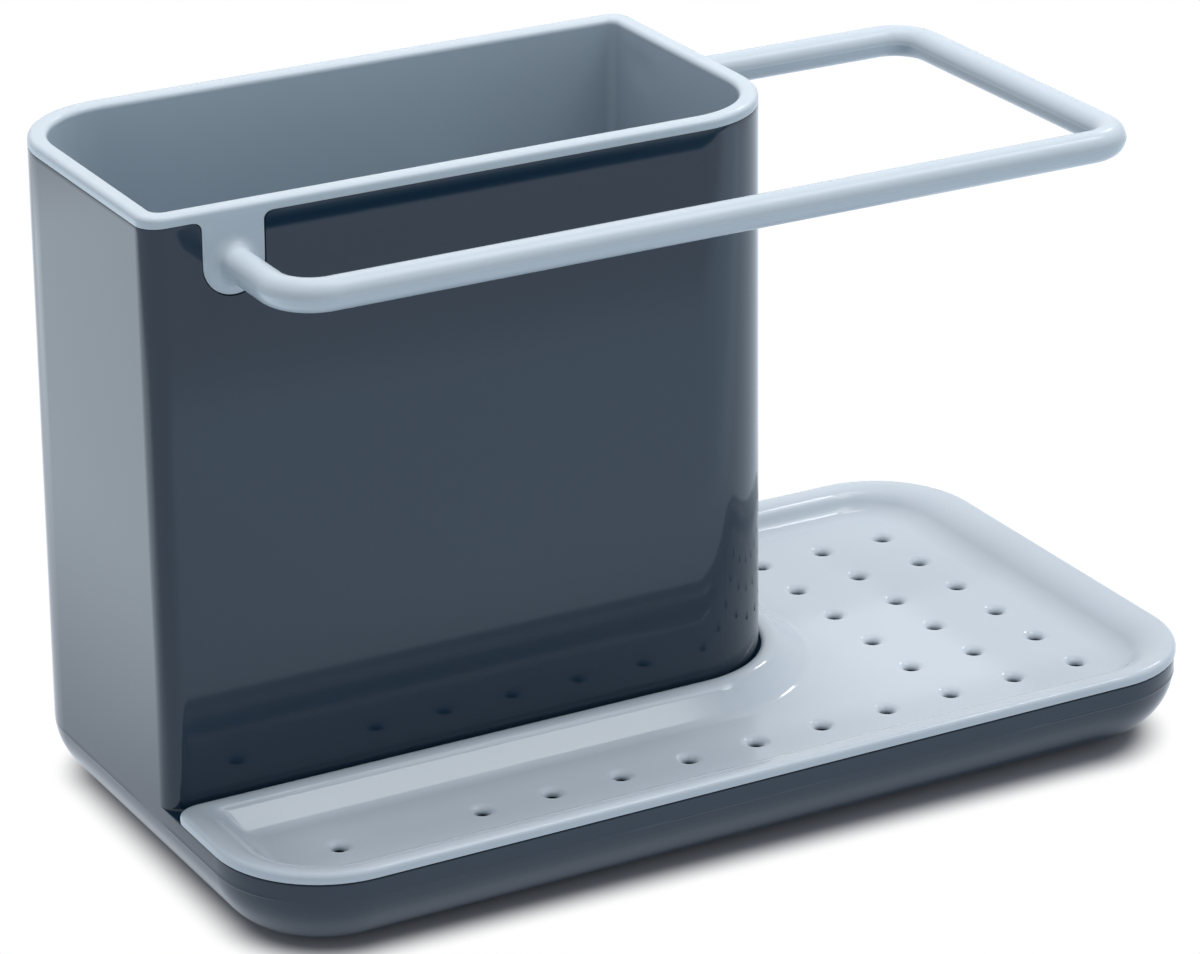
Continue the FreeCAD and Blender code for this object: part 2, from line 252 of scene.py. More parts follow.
def outline(corners):
    """Closed loop round square corners (x, y, radius), anticlockwise.

    A corner's arc is c - r (n cos t + l sin t), with l and n the directions to the last and next corner and
    c the corner moved by r along both. The side after it is straight, with points that crowd to its ends.
    """
    corners = np.asarray(corners, float)
    points, radii = corners[:, :2], corners[:, 2:]
    to_last = np.roll(points, 1, axis=0) - points
    to_next = np.roll(points, -1, axis=0) - points
    to_last /= np.linalg.norm(to_last, axis=1, keepdims=True)
    to_next /= np.linalg.norm(to_next, axis=1, keepdims=True)
    centre = points + radii * (to_last + to_next)
    angle = quarter(ARC)[None, :, None]
    reach = to_next[:, None] * np.cos(angle) + to_last[:, None] * np.sin(angle)
    arcs = centre[:, None] - radii[:, None] * reach
    share = crowded(SIDE)[None, :, None]
    sides = arcs[:, -1:] * (1 - share) + np.roll(arcs[:, :1], -1, axis=0) * share
    return np.concatenate([arcs, sides], axis=1).reshape(-1, 2)


def open_run(corners):
    """Open run of points through five corners, the first and the last of them sharp."""
    return outline(corners)[ARC:4 * BLOCK + 1]


def from_ends(run):
    """Distance of each point of an open run from the run's nearer end, measured along it."""
    steps = np.linalg.norm(np.diff(run, axis=0), axis=1)
    along = np.concatenate([[0], np.cumsum(steps)])
    return np.minimum(along, along[-1] - along)


def circle(x, y, radius):
    """Closed anticlockwise circle of HOLE points."""
    angle = 2 * np.pi * np.arange(HOLE) / HOLE
    return np.stack([x + radius * np.cos(angle), y + radius * np.sin(angle)], axis=1)


def lifted(loop, z):
    """Flat loop at height z, which is one number or one for each point."""
    return np.column_stack([loop, np.broadcast_to(z, len(loop))])


def within(points, loop):
    """True for the points inside a loop: an odd number of its sides cross the ray to +X."""
    x, y = points[:, :1], points[:, 1:]
    ax, ay = loop.T
    bx, by = np.roll(loop, -1, axis=0).T
    straddles = (ay > y) != (by > y)
    rise = np.where(by == ay, 1, by - ay)
    crossing = ax + (y - ay) * (bx - ax) / rise
    return (straddles & (x < crossing)).sum(axis=1) % 2 == 1


class Skin:
    """Gathers the surfaces of one moulding and welds them into one mesh."""

    def __init__(self):
        self.points = []
        self.faces = []
        self.count = 0

    def add(self, points, faces):
        """Add points (n, 3) and faces that index them."""
        self.points.append(points)
        self.faces += (faces + self.count).tolist()
        self.count += len(points)

    def bands(self, loops, flip=False):
        """Bands between closed loops of equal counts: face (i, j), (i, j+1), (i+1, j+1), (i+1, j)."""
        grid = np.stack(loops)
        rows, columns = grid.shape[:2]
        index = np.arange(rows * columns).reshape(rows, columns)
        here, after = index, np.roll(index, -1, axis=1)
        faces = np.stack([here[:-1], after[:-1], after[1:], here[1:]], axis=-1).reshape(-1, 4)
        self.add(grid.reshape(-1, 3), faces[:, ::-1] if flip else faces)

    def plate(self, loops, place, flip=False):
        """Flat face inside the first loop and outside the rest, as constrained Delaunay triangles."""
        starts = np.cumsum([0] + [len(loop) for loop in loops])
        edges = []
        for start, loop in zip(starts, loops):
            index = np.arange(len(loop))
            edges += (start + np.stack([index, (index + 1) % len(loop)], axis=1)).tolist()
        points, _, triangles, *_ = delaunay_2d_cdt(np.vstack(loops).tolist(), edges, [], 1, WELD)
        points = np.array([tuple(point) for point in points])
        triangles = np.array(triangles)
        centres = points[triangles].mean(axis=1)
        kept = within(centres, loops[0])
        for hole in loops[1:]:
            kept &= ~within(centres, hole)
        triangles = triangles[kept]
        self.add(place(points), triangles[:, ::-1] if flip else triangles)

    def level(self, loops, z, flip=False):
        """Level plate at height z."""
        self.plate(loops, lambda points: lifted(points, z), flip)

    def piece(self, name):
        """Mesh object of the gathered surfaces, with doubles merged and real edges kept sharp."""
        mesh = bpy.data.meshes.new(name)
        mesh.from_pydata(np.vstack(self.points) * MM, [], self.faces)
        made = bpy.data.objects.new(name, mesh)
        bpy.context.scene.collection.objects.link(made)
        finish_mesh(mesh)
        return made


def finish_mesh(mesh):
    """Merge doubles, drop faces without area, and shade smooth across all but the real edges."""
    work = bmesh.new()
    work.from_mesh(mesh)
    bmesh.ops.remove_doubles(work, verts=work.verts, dist=WELD)
    bmesh.ops.dissolve_degenerate(work, edges=work.edges, dist=WELD)
    work.to_mesh(mesh)
    work.free()
    mesh.shade_smooth()
    mesh.set_sharp_from_angle(angle=SHARP)


def combine(target, tool, operation):
    """Cut a tool out of a piece or join it on, and keep the plain mesh that results."""
    step = target.modifiers.new(operation, "BOOLEAN")
    step.operation = operation
    step.object = tool
    step.solver = "EXACT"
    shape = target.evaluated_get(bpy.context.evaluated_depsgraph_get())
    target.data = bpy.data.meshes.new_from_object(shape)
    target.modifiers.clear()
    bpy.data.objects.remove(tool)
    finish_mesh(target.data)


def sleeve_corners(inset, lean, tight):
    """Outline of the sleeve: broad at the back left and front right, tight at the other two corners."""
    return [(left + inset, sleeve_front - lean + inset, tight),
            (sleeve_right + lean - inset, sleeve_front - lean + inset, sleeve_broad + lean - inset),
            (sleeve_right + lean - inset, back - inset, tight),
            (left + inset, back - inset, back_left_corner - inset)]


def sleeve_loop(inset, lean, tight, z):
    """The sleeve's outline at a height."""
    return lifted(outline(sleeve_corners(inset, lean, tight)), z)


def tray_corners(outer, sleeve, radii):
    """L-shaped outline round the sleeve's foot: insets of the four sides, distance from the foot, radii."""
    in_front, in_right, in_back, in_left = outer
    return [(left + in_left, front + in_front, radii[0]),
            (right - in_right, front + in_front, radii[1]),
            (right - in_right, back - in_back, radii[2]),
            (foot_right + sleeve, back - in_back, radii[3]),
            (foot_right + sleeve, foot_front - sleeve, sleeve_broad + sleeve_flare + sleeve),
            (left + in_left, foot_front - sleeve, radii[4])]


def lean_at(z):
    """How far the sleeve's front and right faces stand out at a height."""
    return sleeve_flare * (1 - (z - rim_z) / sleeve_rise)


def base_free_side(inset):
    """The base's outline where it is free of the sleeve, from the left side round the front to the back."""
    radius = base_corner - inset
    return open_run([(left + inset, foot_front + sleeve_tight, 0),
                     (left + inset, front + inset, radius),
                     (right - inset, front + inset, radius),
                     (right - inset, back - inset, radius),
                     (foot_right - sleeve_tight, back - inset, 0)])


def foot_outline(inset, wall):
    """Outline of the sleeve's foot: left and back faces in by an inset, front and right by a wall."""
    return outline([(left + inset, foot_front + wall, sleeve_tight - wall),
                    (foot_right - wall, foot_front + wall, sleeve_broad + sleeve_flare - wall),
                    (foot_right - wall, back - inset, sleeve_tight - wall),
                    (left + inset, back - inset, back_left_corner - inset)])


def base_shared_side(inset):
    """The base's outline where the sleeve stands on it, from the back to the left side."""
    loop = foot_outline(inset, 0)
    return np.vstack([loop[2 * BLOCK + ARC:], loop[:1]])


def base_loop(inset):
    """The base's whole outline, drawn in by an inset."""
    return np.vstack([base_free_side(inset)[:-1], base_shared_side(inset)[:-1]])


def end_fade(loop, reach):
    """Weight along an open run of points: 0 at both ends, 1 from a reach inwards."""
    return smooth(from_ends(loop) / reach)[:, None]


def belly_inset(z, radius, low_z):
    """Inset of a rolled-under edge at a height: r - sqrt(r^2 - (low + r - z)^2), and 0 above it."""
    drop = np.clip(low_z + radius - z, 0, radius)
    return radius - math.sqrt(radius * radius - drop * drop)


def inner_belly_rows():
    """Insets and heights down the rolled lower edge inside the base, from its top to the floor."""
    radius = base_belly - body_wall
    heights = [floor_z + radius * (1 - math.cos(t)) for t in quarter(ARC)[::-1]]
    return [(body_wall + belly_inset(z, radius, floor_z), z) for z in heights]


def witness_swell(loop):
    """Strength of the fine parting line round the base: two sine waves round it make it come and go."""
    turn = np.arctan2(loop[:, 1] / (back - front), loop[:, 0] / (right - left))
    slow = witness_slow * np.sin(witness_slow_waves * turn + witness_slow_start)
    quick = witness_quick * np.sin(witness_quick_waves * turn)
    return np.clip(witness_level + slow + quick, 0, 1)[:, None]


def base_outside(skin):
    """Underside's edge, rolled belly, parting line and rim of the base. Returns the rim's free outline."""
    roll = quarter(ARC)
    belly = [lifted(base_loop(base_belly * (1 - math.sin(t))), under_z + base_belly * (1 - math.cos(t)))
             for t in roll]
    line_z = rim_z - witness_drop
    swell = witness_swell(base_loop(0))
    outward = base_loop(-1) - base_loop(0)
    ridge = [lifted(base_loop(belly_inset(line_z + rise, base_belly, under_z)) + outward * swell * height,
                    line_z + rise)
             for rise, height in ((-witness_width, 0), (0, witness_height), (witness_width, 0))]
    lower = [loop for loop in belly if loop[0, 2] < line_z - witness_width]
    upper = [loop for loop in belly if loop[0, 2] > line_z + witness_width]
    free, shared = base_free_side(0), base_shared_side(0)
    fade = end_fade(free, ledge_corner)
    rim = []
    for t in quarter(EDGE):
        drawn_in = base_free_side(base_edge_round * (1 - math.cos(t)))
        edge = free * (1 - fade) + drawn_in * fade
        z = rim_z - base_edge_round * (1 - math.sin(t))
        rim.append(lifted(np.vstack([edge[:-1], shared[:-1]]), z))
    skin.bands(lower + ridge + upper + rim)
    return edge


def underside(skin):
    """Level underside with the round recesses that hold the feet."""
    holes = [circle(x, y, foot_radius + foot_gap) for x, y in foot_places()]
    skin.level([base_loop(base_belly)] + holes, under_z, flip=True)
    for hole in holes:
        skin.bands([lifted(hole, under_z), lifted(hole, under_z + foot_recess)], flip=True)
        skin.level([hole], under_z + foot_recess, flip=True)


def foot_places():
    """Centres of the four feet."""
    return [(x, y) for x in (left + foot_inset_x, right - foot_inset_x)
            for y in (front + foot_inset_y, back - foot_inset_y)]


def sleeve_wall(skin):
    """Sleeve from its foot fillet up the outside, over the top edge and down the inside to the floor.

    Each loop is the sleeve's outline at one height, leaning in evenly from the flared foot to the top.
    """
    split = 2 * BLOCK + ARC + 1
    foot = outline(sleeve_corners(0, sleeve_flare, sleeve_tight))
    fade = end_fade(foot[:split], ledge_corner)
    loops = []
    for t in quarter(EDGE):
        outset = ledge_fillet * (1 - math.sin(t))
        z = rim_z + ledge_fillet * (1 - math.cos(t))
        flared = outline(sleeve_corners(-outset, lean_at(z), sleeve_tight + outset))
        plain = outline(sleeve_corners(0, lean_at(z), sleeve_tight))
        plain[:split] = plain[:split] * (1 - fade) + flared[:split] * fade
        loops.append(lifted(plain, z))
    foot_edge = loops[0][:split, :2]
    edge_z = sleeve_top_z - sleeve_edge_round
    wall_z = rim_z + ledge_fillet + (edge_z - rim_z - ledge_fillet) * crowded(SIDE)
    loops += [sleeve_loop(0, lean_at(z), sleeve_tight, z) for z in wall_z]
    edge = [(sleeve_edge_round * (1 - math.cos(t)), edge_z + sleeve_edge_round * math.sin(t))
            for t in quarter(EDGE)]
    edge += [(body_wall - inset, z) for inset, z in edge[::-1]]
    loops += [sleeve_loop(inset, lean_at(z), sleeve_tight - inset, z) for inset, z in edge]
    loops += [sleeve_loop(body_wall, lean_at(z), sleeve_tight - body_wall, z) for z in wall_z[::-1]]
    loops += [lifted(foot_outline(inset, body_wall), z) for inset, z in inner_belly_rows()]
    skin.bands(loops)
    skin.level([loops[-1][:, :2]], floor_z)
    return foot_edge


def dish(skin):
    """Inside of the base round the sleeve: an L-shaped well with a rolled lower edge. Returns its mouth."""
    rows = [(body_wall - base_edge_round * (1 - math.cos(t)), rim_z - base_edge_round * (1 - math.sin(t)))
            for t in quarter(EDGE)[::-1]]
    loops = []
    for inset, z in rows + inner_belly_rows():
        radius = base_corner - inset
        radii = (radius, radius, radius, tray_back_end_radius, ledge_corner)
        loops.append(lifted(outline(tray_corners((inset,) * 4, 0, radii)), z))
    skin.bands(loops)
    skin.level([loops[-1][:, :2]], floor_z)
    return loops[0][:, :2]


def tab_outline(half, mouth, top):
    """Outline of a rail tab in its own plane, about the rail's axis: round below, flared at the seat."""
    mouth_z = sleeve_top_z - rail_z
    low = np.linspace(np.pi, 2 * np.pi, 2 * ARC + 1)
    bowl = np.stack([half * np.cos(low), half * np.sin(low)], axis=1)
    flare = quarter(ARC)
    bend = np.stack([half + mouth * (1 - np.cos(flare)), mouth_z - mouth * (1 - np.sin(flare))], axis=1)
    ear = np.array([[half + mouth, top]])
    mirror = np.array([-1, 1])
    return np.vstack([bowl, bend, ear, ear * mirror, bend[::-1] * mirror])


def on_front_wall(points, depth):
    """Tab plane to the frame on the sleeve's front wall: width to X, height to Z, depth to Y."""
    return np.column_stack([tab_x + points[:, 0], np.full(len(points), sleeve_front + depth),
                            rail_z + points[:, 1]])


def on_right_wall(points, depth):
    """Tab plane to the frame on the sleeve's right wall: width to Y, height to Z, depth to -X."""
    return np.column_stack([np.full(len(points), sleeve_right - depth), rail_back + points[:, 0],
                            rail_z + points[:, 1]])


def slab(skin, loop, place, near, far, hole=None):
    """Flat slab on a loop in its own plane between two depths. Its near face can be open at a hole."""
    near_loops = [loop] if hole is None else [loop, hole]
    skin.plate(near_loops, lambda points: place(points, near))
    skin.plate([loop], lambda points: place(points, far), flip=True)
    skin.bands([place(loop, far), place(loop, near)])


def make_body():
    """Base dish and sleeve as one skin, then notched for the two tabs."""
    skin = Skin()
    base_edge = base_outside(skin)
    underside(skin)
    foot_edge = sleeve_wall(skin)
    mouth = dish(skin)
    ledge = np.vstack([base_edge, foot_edge[::-1][1:-1]])
    skin.level([ledge, mouth], rim_z)
    body = skin.piece("body_moulding")
    reach = body_wall + liner_gap
    notch = tab_outline(tab_half + tab_gap, notch_mouth, sleeve_top_z - rail_z + reach)
    for place in (on_front_wall, on_right_wall):
        cutter = Skin()
        slab(cutter, notch, place, -reach, reach)
        combine(body, cutter.piece("notch"), "DIFFERENCE")
    return body


def spread(low, high, pitch):
    """Evenly spaced places from low to high, about one pitch apart."""
    count = max(1, round((high - low) / pitch))
    return np.linspace(low, high, count + 1)


def sink_mark(loop, z):
    """Inner wall loop with the shallow sink mark behind the rail's back root: a Gaussian dimple in +X."""
    height = z - rail_z - sink_mark_radius
    distance = ((loop[:, 1] - rail_back) ** 2 + height ** 2) / sink_mark_radius ** 2
    on_wall = loop[:, 0] > sleeve_right - sink_mark_band
    marked = loop.copy()
    marked[:, 0] += np.where(on_wall, sink_mark_depth * np.exp(-distance), 0)
    return marked


def liner_bin():
    """Bin from its drained bottom up the outside, over the rim and down the inside to the floor."""
    skin = Skin()
    outset = body_wall + liner_gap
    outer_tight = sleeve_tight - outset
    inset = outset + liner_wall
    rim_low = sleeve_top_z + rim_seat_gap
    rows = []
    for t in quarter(EDGE):
        drawn = liner_foot_round * (1 - math.sin(t))
        z = liner_bottom_z + liner_foot_round * (1 - math.cos(t))
        rows.append((outset + liner_taper + drawn, max(outer_tight - drawn, rim_inner_round), z))
    rows += [(outset, outer_tight, rim_low), (0, sleeve_tight, rim_low), (0, sleeve_tight, liner_seat_z)]
    for t in quarter(LIP):
        drawn = rim_outer_round * (1 - math.cos(t))
        z = top_z - rim_outer_round * (1 - math.sin(t))
        rows.append((drawn, sleeve_tight - drawn, z))
    for t in quarter(EDGE)[::-1]:
        drawn = inset - rim_inner_round * (1 - math.cos(t))
        z = top_z - rim_inner_round * (1 - math.sin(t))
        rows.append((drawn, liner_inner_tight + inset - drawn, z))
    loops = [sleeve_loop(drawn, 0, radius, z) for drawn, radius, z in rows]
    inner_rows = 4 * SIDE
    for share in crowded(inner_rows):
        z = top_z - rim_inner_round - share * (top_z - rim_inner_round - liner_floor_z)
        taper = liner_taper * np.clip((liner_seat_z - z) / (liner_seat_z - liner_floor_z), 0, 1)
        loop = outline(sleeve_corners(inset + taper, 0, liner_inner_tight))
        loops.append(lifted(sink_mark(loop, z), z))
    loops.append(sleeve_loop(inset + liner_taper, 0, liner_inner_tight, liner_floor_z))
    skin.bands(loops)
    drains = liner_drains(inset)
    skin.level([loops[0][:, :2]] + drains, liner_bottom_z, flip=True)
    skin.level([loops[-1][:, :2]] + drains, liner_floor_z)
    for drain in drains:
        skin.bands([lifted(drain, liner_bottom_z), lifted(drain, liner_floor_z)], flip=True)
    return skin.piece("liner_moulding")


def liner_drains(inset):
    """Drain holes in the liner's floor: even rows in the bays on both sides of the divider."""
    divider = sleeve_right - divider_setback
    bays = ((left + inset, divider), (divider + divider_thickness, sleeve_right - inset))
    low_y = sleeve_front + inset + liner_drain_margin
    high_y = back - inset - liner_drain_margin
    return [circle(x, y, liner_drain) for low, high in bays
            for x in spread(low + liner_drain_margin, high - liner_drain_margin, liner_drain_pitch)
            for y in spread(low_y, high_y, liner_drain_pitch)]


def divider_wall():
    """Low wall across the bin with a rounded top: an arched section carried from front to back."""
    skin = Skin()
    half = divider_thickness / 2
    centre_x = sleeve_right - divider_setback + half
    top = top_z - divider_drop - half
    turn = np.linspace(0, np.pi, 2 * EDGE + 1)
    arch = np.stack([centre_x + half * np.cos(turn), top + half * np.sin(turn)], axis=1)
    foot = np.array([[centre_x - half, liner_floor_z - half], [centre_x + half, liner_floor_z - half]])
    loop = np.vstack([arch, foot])
    near = sleeve_front + body_wall + liner_gap + half
    far = back - body_wall - liner_gap - half

    def stand(points, y):
        """Section plane to the frame: width to X and height to Z."""
        return np.column_stack([points[:, 0], np.full(len(points), y), points[:, 1]])

    slab(skin, loop, stand, near, far)
    return skin.piece("divider")


def rail_section():
    """Angles round the rail, crowded at the two sides where its mould seam runs, and the seam's height."""
    even = np.linspace(0, 2 * np.pi, 2 * HOLE, endpoint=False)
    width = seam_width / rail_radius
    close = SEAM * width
    angles = np.unique(np.round(np.concatenate([even, close, close + np.pi]) % (2 * np.pi), decimals=9))
    return angles, seam_height * np.exp(-(np.sin(angles) / width) ** 2)


def rail_and_tabs():
    """Cloth rail: a round section carried along straight runs and bends, flaring into a tab at each end.

    Near a root the radius is r + f - sqrt(f^2 - (f - s)^2), with s the distance from the tab's face.
    """
    skin = Skin()
    path = open_run([(tab_x, sleeve_front, 0),
                     (tab_x, rail_front, rail_bend),
                     (rail_end, rail_front, rail_bend),
                     (rail_end, rail_back, rail_bend),
                     (sleeve_right, rail_back, 0)])
    near_root = rail_root * (1 - np.cos(quarter(2 * EDGE)))[:, None]
    lead_in = path[0] + near_root * np.array([[0, -1]])
    lead_out = path[-1] + near_root[::-1] * np.array([[1, 0]])
    clear = (path[:, 1] < sleeve_front - rail_root_reach) | (path[:, 0] > sleeve_right + rail_root_reach)
    path = np.vstack([lead_in, path[clear], lead_out])
    from_root = from_ends(path)
    short = np.clip(rail_root - from_root, 0, None)
    swell = rail_root - np.sqrt(rail_root ** 2 - short ** 2)
    heading = np.gradient(path, axis=0)
    heading[0], heading[-1] = (0, -1), (-1, 0)
    heading /= np.linalg.norm(heading, axis=1, keepdims=True)
    side = np.stack([heading[:, 1], -heading[:, 0]], axis=1)
    angles, seam = rail_section()
    fade = smooth((from_root - rail_root) / rail_root)
    radius = rail_radius + swell[:, None] + seam[None, :] * fade[:, None]
    flat = path[:, None] + side[:, None] * (radius * np.cos(angles))[:, :, None]
    tube = np.concatenate([flat, (rail_z + radius * np.sin(angles))[:, :, None]], axis=2)
    skin.bands(list(tube), flip=True)
    mouth = notch_mouth - tab_gap
    tab = tab_outline(tab_half, mouth, liner_seat_z - rail_z)
    root = body_wall + liner_gap + liner_wall / 2
    first, last = tube[0], tube[-1]
    front_hole = np.stack([first[:, 0] - tab_x, first[:, 2] - rail_z], axis=1)
    right_hole = np.stack([last[:, 1] - rail_back, last[:, 2] - rail_z], axis=1)
    slab(skin, tab, on_front_wall, 0, root, front_hole)
    slab(skin, tab, on_right_wall, 0, root, right_hole)
    return skin.piece("rail_and_tabs")


def make_liner():
    """Bin, divider, tabs and rail joined into one skin."""
    liner = liner_bin()
    combine(liner, divider_wall(), "UNION")
    combine(liner, rail_and_tabs(), "UNION")
    return liner


def drain_places():
    """Centres of the tray's drain holes: a row along the front and a block beside the sleeve."""
    last_x = right - drain_margin
    row_count = 1 + math.floor((right - left - 2 * drain_margin) / drain_pitch_x)
    block_count = 1 + math.floor((last_x - foot_right - drain_sleeve_margin) / drain_pitch_x)
    rows = spread(front + drain_margin, back - drain_margin, drain_pitch_y)
    row = [(last_x - column * drain_pitch_x, rows[0]) for column in range(row_count)
           if row_count - column != bare_place_from_left]
    block = [(last_x - column * drain_pitch_x, y) for column in range(block_count) for y in rows[1:]]
    return row + block


def cove(run, depth, crown, hollow=None):
    """Insets and drops along a cove: a crown arc r1, a straight slope tangent to both, and a hollow arc r2.

    With r = r1 + r2 the slope's length is l = sqrt(run^2 + (depth - r)^2 - r^2), and its angle is
    atan2(depth - r, run) + atan2(r, l). Without a hollow radius given, the arcs meet and l is 0.
    """
    if hollow is None:
        hollow = (run ** 2 + depth ** 2) / (2 * depth) - crown
    both = crown + hollow
    slope = math.sqrt(max(run ** 2 + (depth - both) ** 2 - both ** 2, 0))
    steepest = math.atan2(depth - both, run) + math.atan2(both, slope)
    over = np.linspace(0, steepest, ARC + 1)
    out = np.linspace(steepest, 0, ARC + 1)[1:]
    insets = np.concatenate([crown * np.sin(over), run - hollow * np.sin(out)])
    drops = np.concatenate([crown * (1 - np.cos(over)), depth - hollow * (1 - np.cos(out))])
    return insets, drops


def beaded_slope(run, depth):
    """Insets and drops beside the sleeve: a bead, the hollow below it, an even slope and its foot.

    The slope is the common tangent of the two hollows r2 and r3. With D the way between their centres, its
    angle is atan2(Dz, Dx) + asin((r3 - r2) / |D|).
    """
    fall = math.radians(tray_bead_fall)
    both = tray_bead_round + tray_bead_hollow
    first = np.array([both * math.sin(fall), tray_bead_round - both * math.cos(fall)])
    last = np.array([run, depth - tray_sleeve_hollow])
    way = last - first
    lean = (tray_sleeve_hollow - tray_bead_hollow) / np.linalg.norm(way)
    slope = math.atan2(way[1], way[0]) + math.asin(lean)
    over = np.linspace(0, fall, ARC + 1)
    under = np.linspace(fall, slope, ARC + 1)[1:]
    out = np.linspace(slope, 0, ARC + 1)
    insets = np.concatenate([tray_bead_round * np.sin(over),
                             first[0] - tray_bead_hollow * np.sin(under),
                             last[0] - tray_sleeve_hollow * np.sin(out)])
    drops = np.concatenate([tray_bead_round * (1 - np.cos(over)),
                            first[1] + tray_bead_hollow * np.cos(under),
                            last[1] + tray_sleeve_hollow * np.cos(out)])
    return insets, drops


def corner_blend(heights):
    """Heights along an outline whose sides are level: each corner's arc blends from side to side."""
    last = np.roll(heights, 1)[:, None]
    share = smooth(np.linspace(0, 1, ARC + 1))[None, :]
    arcs = last * (1 - share) + heights[:, None] * share
    sides = np.repeat(heights[:, None], SIDE, axis=1)
    return np.concatenate([arcs, sides], axis=1).ravel()


def tray_ring(side, back_side, sleeve_side, ends):
    """Ring of the tray's skin: (distance, height) for each kind of side, and the two end corners' radii."""
    corner = base_corner - side[0]
    back_corner = base_corner - (side[0] + back_side[0]) / 2
    insets = (side[0], side[0], back_side[0], side[0])
    loop = outline(tray_corners(insets, sleeve_side[0], (corner, corner, back_corner, *ends)))
    heights = np.array([side[1], side[1], back_side[1], sleeve_side[1], sleeve_side[1], side[1]])
    return np.column_stack([loop, corner_blend(heights)])


def tray_underside():
    """Rings from the level underside up the coves to the locating step under the lip."""
    sleeve_start = tray_gap + tray_sleeve_peak
    sleeve_end = tray_gap + tray_sleeve_cove
    below = tray_sleeve_hollow + tray_wall
    kinds = ((tray_lip_round, tray_side_cove, tray_side_crown, None),
             (tray_lip_round, tray_back_cove, tray_back_crown, None),
             (sleeve_start, sleeve_end, tray_sleeve_crown, below))
    profiles = []
    for start, end, crown, hollow in kinds:
        insets, drops = cove(end - start, tray_depth, crown - tray_wall / 2, hollow)
        profiles.append((start + insets, drops))
    rings = []
    for t in quarter(ARC):
        z = tray_under_z + (tray_step_z - tray_under_z) * (1 - math.cos(t))
        drop = tray_floor_z + tray_depth - tray_wall - z
        pairs = [(np.interp(drop, drops, insets), z) for insets, drops in profiles]
        share = (z - tray_under_z) / (tray_step_z - tray_under_z)
        end_radius = tray_inner_end_radius + (ledge_corner - tray_inner_end_radius) * share
        rings.append(tray_ring(*pairs, (tray_inner_end_radius, end_radius)))
    step = body_wall + tray_gap
    for z in (tray_step_z, tray_seat_z):
        pairs = ((step, z), (step, z), (tray_gap + tray_step_ease, z))
        rings.append(tray_ring(*pairs, (tray_inner_end_radius, ledge_corner - tray_gap)))
    return rings


def tray_lip():
    """Rings of the lip, from its lower edge over the rounded outside to the crest."""
    rings = []
    for t in quarter(EDGE // 2):
        drawn = tray_lip_under_round * (1 - math.sin(t))
        z = tray_seat_z + tray_lip_under_round * (1 - math.cos(t))
        outer = (drawn - tray_overhang, z)
        ends = (tray_back_end_radius, tray_end_radius)
        rings.append(tray_ring(outer, outer, (tray_gap + drawn, z), ends))
    for t in quarter(LIP):
        drawn = 1 - math.cos(t)
        below = 1 - math.sin(t)
        outer = (tray_lip_round * drawn - tray_overhang, tray_crest_z - tray_lip_round * below)
        by_sleeve = (tray_gap + tray_sleeve_peak * drawn, tray_sleeve_z - tray_sleeve_round * below)
        ends = (tray_back_end_radius - tray_lip_round * drawn, tray_end_radius - tray_lip_round * drawn)
        rings.append(tray_ring(outer, outer, by_sleeve, ends))
    return rings


def tray_coves():
    """Rings down the inside of the lip to the floor, each at the same share of every cove's drop."""
    crest = tray_lip_round - tray_overhang
    side_in, side_drop = cove(tray_side_cove - crest, tray_depth, tray_side_crown)
    back_in, back_drop = cove(tray_back_cove - crest, tray_depth, tray_back_crown)
    sleeve_depth_in = tray_depth - tray_sleeve_drop
    sleeve_in, sleeve_drop = beaded_slope(tray_sleeve_cove - tray_sleeve_peak, sleeve_depth_in)
    down = side_drop / tray_depth
    back_in = np.interp(down * tray_depth, back_drop, back_in)
    sleeve_in = np.interp(down * sleeve_depth_in, sleeve_drop, sleeve_in)
    peak = tray_gap + tray_sleeve_peak
    first_end = tray_end_radius - tray_lip_round
    first_back_end = tray_back_end_radius - tray_lip_round
    rings = []
    for place, share in enumerate(down):
        ends = (first_back_end + (tray_floor_end_radius - first_back_end) * share,
                first_end + (tray_floor_end_radius - first_end) * share)
        rings.append(tray_ring((crest + side_in[place], tray_crest_z - side_drop[place]),
                               (crest + back_in[place], tray_crest_z - side_drop[place]),
                               (peak + sleeve_in[place], tray_sleeve_z - share * sleeve_depth_in), ends))
    return rings[1:]


def drain_profile():
    """Radii and depths down a drain: a quarter of an ellipse round the mouth, then the straight bore."""
    over = quarter(2 * EDGE)
    radii = np.append(drain_bore + drain_mouth_round * (1 - np.sin(over)), drain_bore)
    depths = np.append(drain_mouth_depth * (1 - np.cos(over)), tray_floor_z - tray_under_z)
    return radii, depths


def make_tray():
    """L-shaped dish: coved underside, rounded lip, coved inside, and a level floor with drains."""
    skin = Skin()
    rings = tray_underside() + tray_lip() + tray_coves()
    skin.bands(rings)
    mouths, bores = [], []
    radii, depths = drain_profile()
    for x, y in drain_places():
        drain = [lifted(circle(x, y, radius), tray_floor_z - depth) for radius, depth in zip(radii, depths)]
        skin.bands(drain)
        mouths.append(drain[0][:, :2])
        bores.append(drain[-1][:, :2])
    skin.level([rings[-1][:, :2]] + mouths, tray_floor_z)
    skin.level([rings[0][:, :2]] + bores, tray_under_z, flip=True)
    return skin.piece("tray_moulding")


def fill(node, values):
    """Set the values of some of a node's inputs."""
    for socket, value in values.items():
        node.inputs[socket].default_value = value


def add_node(tree, kind, operation=None, values=None):
    """New shader node with its operation, if it has one, and with values for some of its inputs."""
    node = tree.nodes.new("ShaderNode" + kind)
    if operation:
        node.operation = operation
    fill(node, values or {})
    return node


def smooth_ramp(tree, values):
    """New node that maps a value by a smooth step between the given limits."""
    ramp = add_node(tree, "MapRange", values=values)
    ramp.interpolation_type = "SMOOTHSTEP"
    return ramp


